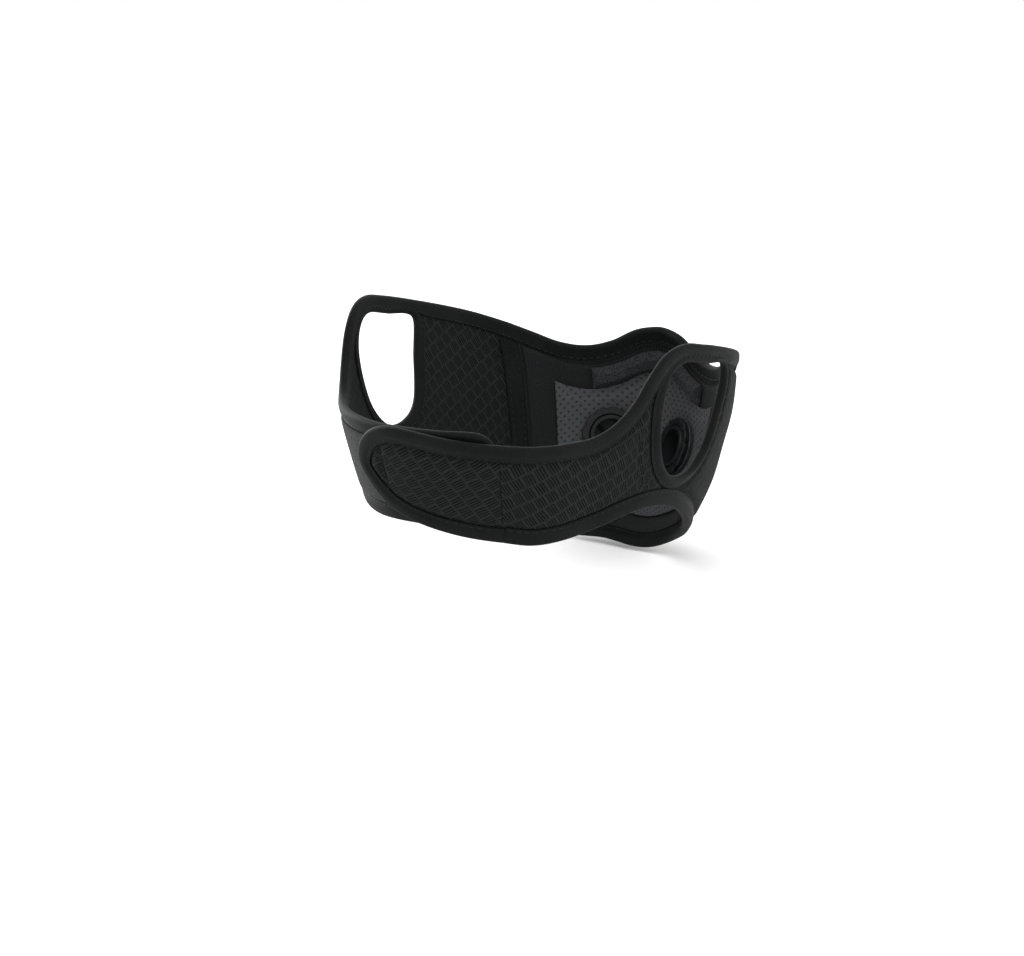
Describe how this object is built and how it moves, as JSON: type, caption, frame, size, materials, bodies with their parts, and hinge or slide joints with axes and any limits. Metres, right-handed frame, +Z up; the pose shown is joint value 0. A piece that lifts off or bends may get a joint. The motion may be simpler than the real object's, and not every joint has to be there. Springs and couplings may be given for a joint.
{
  "type": "cloth half-face mask",
  "caption": "Half-face cloth mask in its worn shape: two-panel front with exhaust valves, mesh side panels with ear openings and a hook-and-loop closure behind the neck.",
  "frame": {"origin": "on the head's mid-plane, midway between the two ear openings and level with their middles", "axes": "+Z up the wearer's head, -Y out through the front of the mask, +X to the wearer's left"},
  "size_m": [0.1542, 0.2036, 0.1061],
  "materials": {
    "printed_fabric": "matte printed jersey over foam",
    "mesh_fabric": "black basket-pattern mesh over foam",
    "lining_knit": "matte knitted lining",
    "binding_tape": "smooth elastic binding, slight sheen",
    "loop_pile": "brushed loop pile",
    "hook_tape": "moulded hooks",
    "filter_felt": "pressed fibre sheet",
    "foam": "open-cell foam",
    "aluminium": "rolled strip",
    "valve_plastic": "moulded, fine texture",
    "silicone": "soft moulded rubber"
  },
  "bodies": {
    "front": {"cup_panel_right": "printed_fabric", "cup_panel_left": "printed_fabric", "cup_lining_right": "lining_knit", "cup_lining_left": "lining_knit", "cheek_seam_tape_right": "binding_tape", "cheek_seam_tape_left": "binding_tape", "centre_seam_tape": "binding_tape", "nose_clip": "aluminium", "nose_clip_pocket": "printed_fabric", "nose_foam": "foam", "filter_insert": "filter_felt", "top_binding_front": "binding_tape", "bottom_binding_front": "binding_tape", "valve_seat_right": "valve_plastic", "valve_seat_left": "valve_plastic", "valve_gasket_right": "silicone", "valve_gasket_left": "silicone"},
    "wing_right": {"side_panel_right": "mesh_fabric", "top_binding_right": "binding_tape", "bottom_binding_right": "binding_tape", "ear_binding_right": "binding_tape"},
    "wing_left": {"side_panel_left": "mesh_fabric", "strap_binding_left": "binding_tape", "ear_binding_left": "binding_tape", "loop_patch": "loop_pile"},
    "tab": {"closure_tab": "mesh_fabric", "tab_binding": "binding_tape", "hook_patch": "hook_tape"},
    "cap_right": {"valve_cap_right": "valve_plastic"},
    "cap_left": {"valve_cap_left": "valve_plastic"},
    "diaphragm_right": {"valve_diaphragm_right": "silicone"},
    "diaphragm_left": {"valve_diaphragm_left": "silicone"},
    "ring_right": {"lock_ring_right": "valve_plastic"},
    "ring_left": {"lock_ring_left": "valve_plastic"}
  },
  "joints": [
    {"name": "right_wing_swing", "type": "hinge", "parent": "front", "child": "wing_right", "pos_m": [-0.0609, -0.0655, 0.014], "axis": [-0.228, -0.0623, 0.9717], "range_deg": [0, 30]},
    {"name": "left_wing_swing", "type": "hinge", "parent": "front", "child": "wing_left", "pos_m": [0.0609, -0.0655, 0.014], "axis": [-0.228, 0.0623, -0.9717], "range_deg": [0, 30]},
    {"name": "tab_peel", "type": "hinge", "parent": "wing_right", "child": "tab", "pos_m": [-0.03387, 0.07909, -0.02152], "axis": [-0.1167, 0.3001, 0.9467], "range_deg": [0, 105]},
    {"name": "right_cap_twist", "type": "hinge", "parent": "front", "child": "cap_right", "pos_m": [-0.01965, -0.09069, -0.03594], "axis": [-0.5916, -0.7559, -0.2805], "range_deg": [0, 60]},
    {"name": "left_cap_twist", "type": "hinge", "parent": "front", "child": "cap_left", "pos_m": [0.01965, -0.09069, -0.03594], "axis": [0.5916, -0.7559, -0.2805], "range_deg": [0, 60]},
    {"name": "right_diaphragm_lift", "type": "slide", "parent": "front", "child": "diaphragm_right", "axis": [-0.5916, -0.7559, -0.2805], "range_m": [0, 0.0012], "stiffness_N_per_m": 30},
    {"name": "left_diaphragm_lift", "type": "slide", "parent": "front", "child": "diaphragm_left", "axis": [0.5916, -0.7559, -0.2805], "range_m": [0, 0.0012], "stiffness_N_per_m": 30},
    {"name": "right_ring_turn", "type": "hinge", "parent": "front", "child": "ring_right", "pos_m": [-0.01965, -0.09069, -0.03594], "axis": [-0.5916, -0.7559, -0.2805], "range_deg": [0, 90]},
    {"name": "left_ring_turn", "type": "hinge", "parent": "front", "child": "ring_left", "pos_m": [0.01965, -0.09069, -0.03594], "axis": [0.5916, -0.7559, -0.2805], "range_deg": [0, 90]}
  ],
  "couplings": [
    {"joint": "left_wing_swing", "follows": "right_wing_swing", "ratio": 1},
    {"joint": "tab_peel", "follows": "right_wing_swing", "ratio": 3.4}
  ]
}
